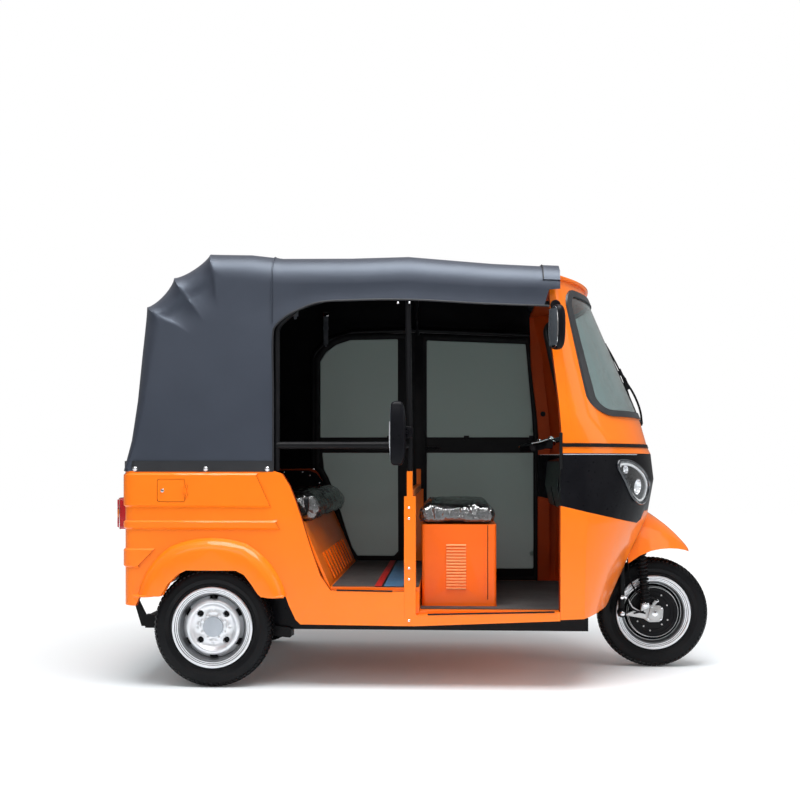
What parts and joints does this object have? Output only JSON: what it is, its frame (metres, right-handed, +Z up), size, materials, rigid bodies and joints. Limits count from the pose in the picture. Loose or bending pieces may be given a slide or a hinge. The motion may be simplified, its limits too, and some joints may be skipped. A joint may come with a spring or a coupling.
{
  "type": "auto rickshaw",
  "caption": "Three-wheeled auto rickshaw with an open cab, folding vinyl canopy, glazed left doors, driver's bench, passenger bench and a leading-link front fork.",
  "frame": {"origin": "on the ground, below the middle of the overall length and width", "axes": "+X forward, +Y to the vehicle's left, +Z up"},
  "size_m": [2.703, 1.4886, 1.9354],
  "materials": {
    "paint_orange": "gloss",
    "paint_black": "satin",
    "plastic_black": "satin",
    "rubber_black": "matte",
    "mat_grey": "matte",
    "tyre_black": "matte",
    "steel_silver": "satin",
    "alloy_cast": "satin",
    "glass_clear": "gloss",
    "glass_tint": "gloss",
    "lens_clear": "gloss",
    "lens_red": "gloss",
    "canopy_vinyl": "satin",
    "seat_vinyl": "gloss"
  },
  "bodies": {
    "body": {"chassis_frame": "paint_black", "rear_suspension": "paint_black", "powertrain": "alloy_cast", "floor_pan": "paint_orange", "floor_mats": "mat_grey", "side_panel_right": "paint_orange", "side_panel_left": "paint_orange", "rear_fenders": "paint_orange", "rear_panel": "paint_orange", "rear_bumper": "paint_black", "tail_lamps": "lens_red", "body_posts": "paint_orange", "cowl_upper": "paint_orange", "cowl_mask": "plastic_black", "cowl_lower": "paint_orange", "headlamp_lenses": "lens_clear", "headlamp_bowls": "plastic_black", "windshield_seal": "rubber_black", "windshield": "glass_clear", "cowl_trim": "rubber_black", "visor": "paint_orange", "front_fender": "paint_orange", "front_well": "paint_black", "dash_housing": "plastic_black", "wiper": "plastic_black", "mirrors": "plastic_black", "door_hinges": "paint_black", "canopy": "canopy_vinyl", "canopy_frame": "paint_black", "driver_seat_box": "paint_orange", "driver_cushion": "seat_vinyl", "passenger_cushion": "seat_vinyl", "passenger_backrest": "seat_vinyl", "inner_trims": "plastic_black"},
    "steering": {"steering_fork": "paint_black", "front_links": "steel_silver", "front_springs": "paint_black", "handlebar": "plastic_black"},
    "wheel_front": {"front_tyre": "tyre_black", "front_rim": "steel_silver"},
    "wheel_rear_right": {"rear_right_tyre": "tyre_black", "rear_right_rim": "steel_silver"},
    "wheel_rear_left": {"rear_left_tyre": "tyre_black", "rear_left_rim": "steel_silver"},
    "door_front": {"door_front_left": "paint_black", "door_front_left_pane": "glass_tint"},
    "door_rear": {"door_rear_left": "paint_black", "door_rear_left_pane": "glass_tint"},
    "lid_filler": {"filler_lid": "paint_orange"},
    "lid_rear": {"rear_hatch": "paint_orange"}
  },
  "joints": [
    {"name": "steer", "type": "hinge", "parent": "body", "child": "steering", "pos_m": [1.0805, 0, 0.27], "axis": [-0.4035, 0, 0.915], "range_deg": [-35, 35]},
    {"name": "front_wheel_spin", "type": "hinge", "parent": "steering", "child": "wheel_front", "pos_m": [1.0905, 0, 0.261], "axis": [0, 1, 0], "continuous": true},
    {"name": "rear_right_wheel_spin", "type": "hinge", "parent": "body", "child": "wheel_rear_right", "pos_m": [-0.9095, -0.558, 0.261], "axis": [0, 1, 0], "continuous": true},
    {"name": "rear_left_wheel_spin", "type": "hinge", "parent": "body", "child": "wheel_rear_left", "pos_m": [-0.9095, 0.558, 0.261], "axis": [0, 1, 0], "continuous": true},
    {"name": "front_door_hinge", "type": "hinge", "parent": "body", "child": "door_front", "pos_m": [0.5865, 0.6335, 0.9], "axis": [0, 0, -1], "range_deg": [0, 70]},
    {"name": "rear_door_hinge", "type": "hinge", "parent": "body", "child": "door_rear", "pos_m": [-0.079, 0.6335, 0.9], "axis": [0, 0, -1], "range_deg": [0, 70]},
    {"name": "filler_lid_hinge", "type": "hinge", "parent": "body", "child": "lid_filler", "pos_m": [-1.0195, -0.6377, 0.8565], "axis": [0, 0, 1], "range_deg": [0, 100]},
    {"name": "rear_hatch_hinge", "type": "hinge", "parent": "body", "child": "lid_rear", "pos_m": [-1.3018, 0, 0.882], "axis": [0, 1, 0], "range_deg": [0, 80]}
  ]
}
